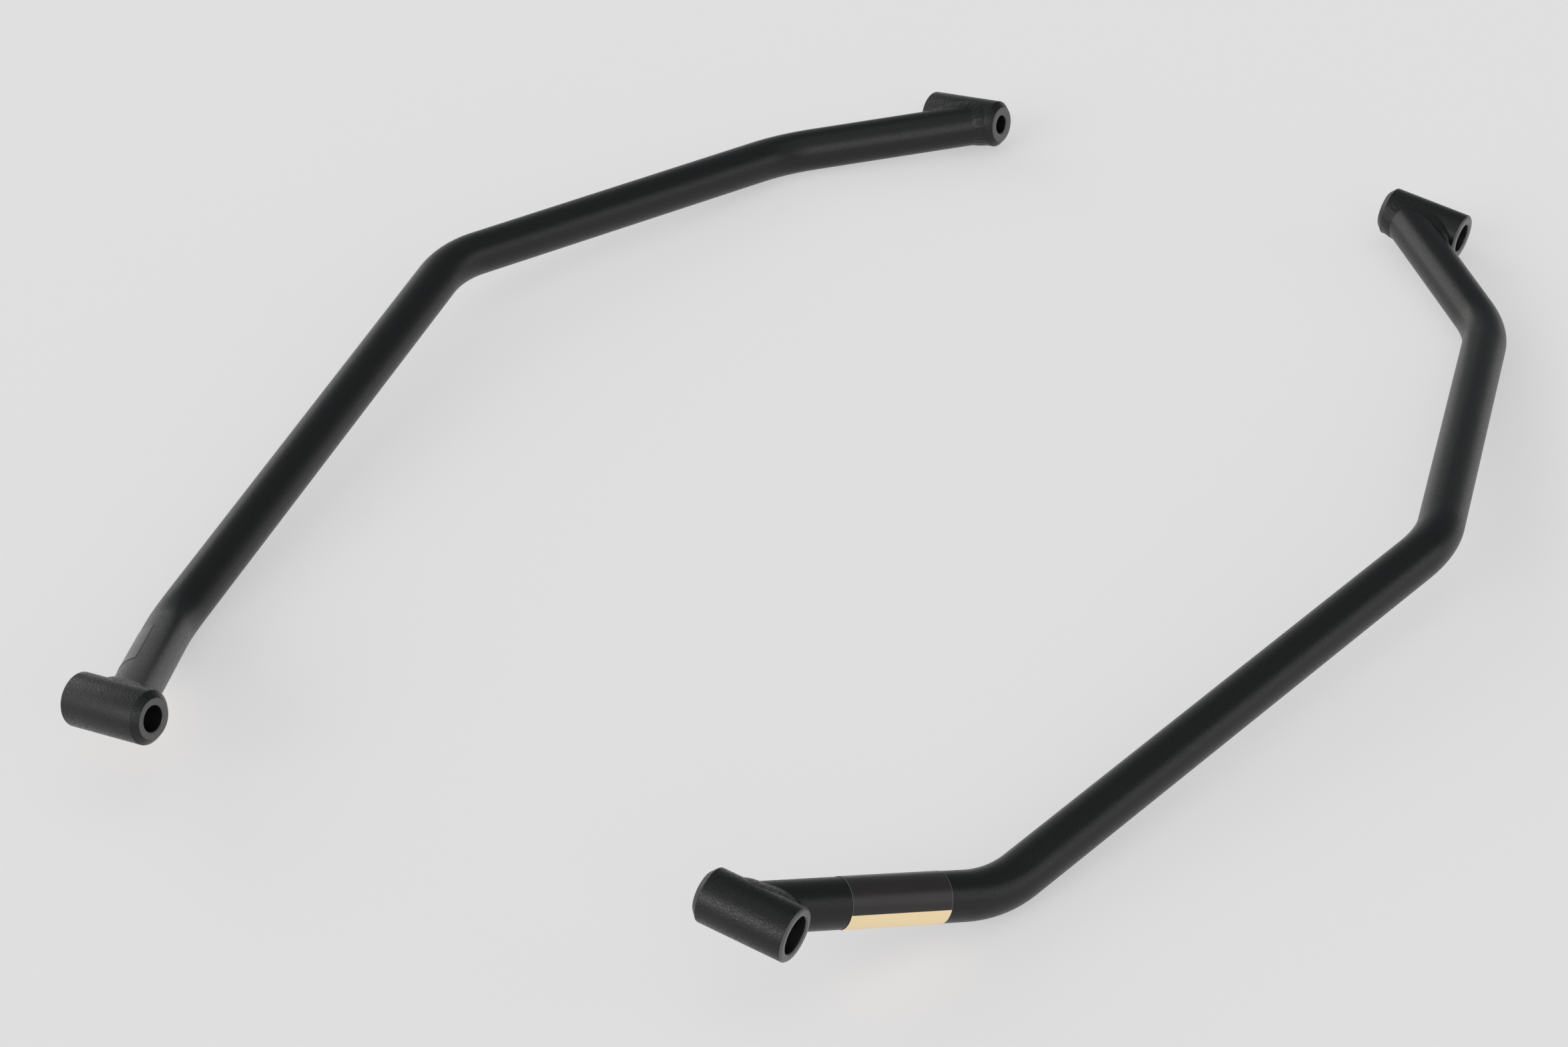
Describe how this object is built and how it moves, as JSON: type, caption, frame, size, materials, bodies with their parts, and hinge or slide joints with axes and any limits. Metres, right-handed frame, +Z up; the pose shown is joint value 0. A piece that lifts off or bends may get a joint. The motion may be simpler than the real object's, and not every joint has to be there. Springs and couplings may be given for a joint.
{
  "type": "motorcycle crash bars",
  "caption": "Bent tubular engine guards with coped, welded cross bushes that take the mounting bolts, in a black powder coat, with a bare wrap-round label.",
  "frame": {"origin": "middle of the pair's footprint, on the floor that the bars rest on", "axes": "X across the pair, with the right bar on +X; Y along the bars from the lower mounts to the upper ones; Z up from the floor"},
  "size_m": [0.6396, 0.8292, 0.0719],
  "materials": {
    "powder_coat": "satin black powder coat with a fine orange peel",
    "weld_bead": "satin black powder coat over a rippled weld",
    "label_film": "smooth film, a black field with a pale gold field below it"
  },
  "bodies": {
    "root": {"right_tube": "powder_coat", "right_lower_bush": "powder_coat", "right_upper_bush": "powder_coat", "right_lower_weld": "weld_bead", "right_upper_weld": "weld_bead", "right_label": "label_film", "left_tube": "powder_coat", "left_lower_bush": "powder_coat", "left_upper_bush": "powder_coat", "left_lower_weld": "weld_bead", "left_upper_weld": "weld_bead", "left_label": "label_film"}
  },
  "joints": []
}
